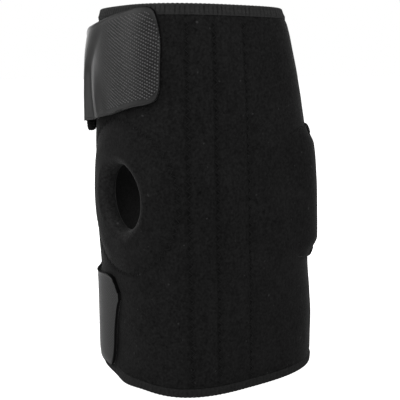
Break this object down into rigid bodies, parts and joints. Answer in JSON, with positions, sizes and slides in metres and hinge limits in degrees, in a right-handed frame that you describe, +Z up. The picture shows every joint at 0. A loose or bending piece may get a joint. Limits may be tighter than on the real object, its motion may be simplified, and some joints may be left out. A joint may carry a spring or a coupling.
{
  "type": "knee support",
  "caption": "Wrap-round neoprene knee support with an open kneecap hole, sewn stay channels, bound rims, a back pad and grey hook-tape straps, closed and standing on its lower rim.",
  "frame": {"origin": "middle of the object's box at the surface that the lower rim stands on", "axes": "+Z up along the leg, -Y towards the kneecap, +X towards the side with the stay channels"},
  "size_m": [0.1486, 0.1768, 0.28],
  "materials": {
    "neoprene": "black neoprene faced with brushed nylon jersey, matt with a faint sheen",
    "binding": "black knitted binding tape, sewn over the rim with ribbed overlock thread",
    "hook_tape": "dark grey woven hook tape with a fine diamond texture and plain selvedges"
  },
  "bodies": {
    "root": {"sleeve": "neoprene", "top_binding": "binding", "bottom_binding": "binding", "back_panel": "neoprene", "upper_wing": "neoprene", "upper_tab": "hook_tape", "lower_wing": "neoprene", "lower_tab": "hook_tape"}
  },
  "joints": []
}
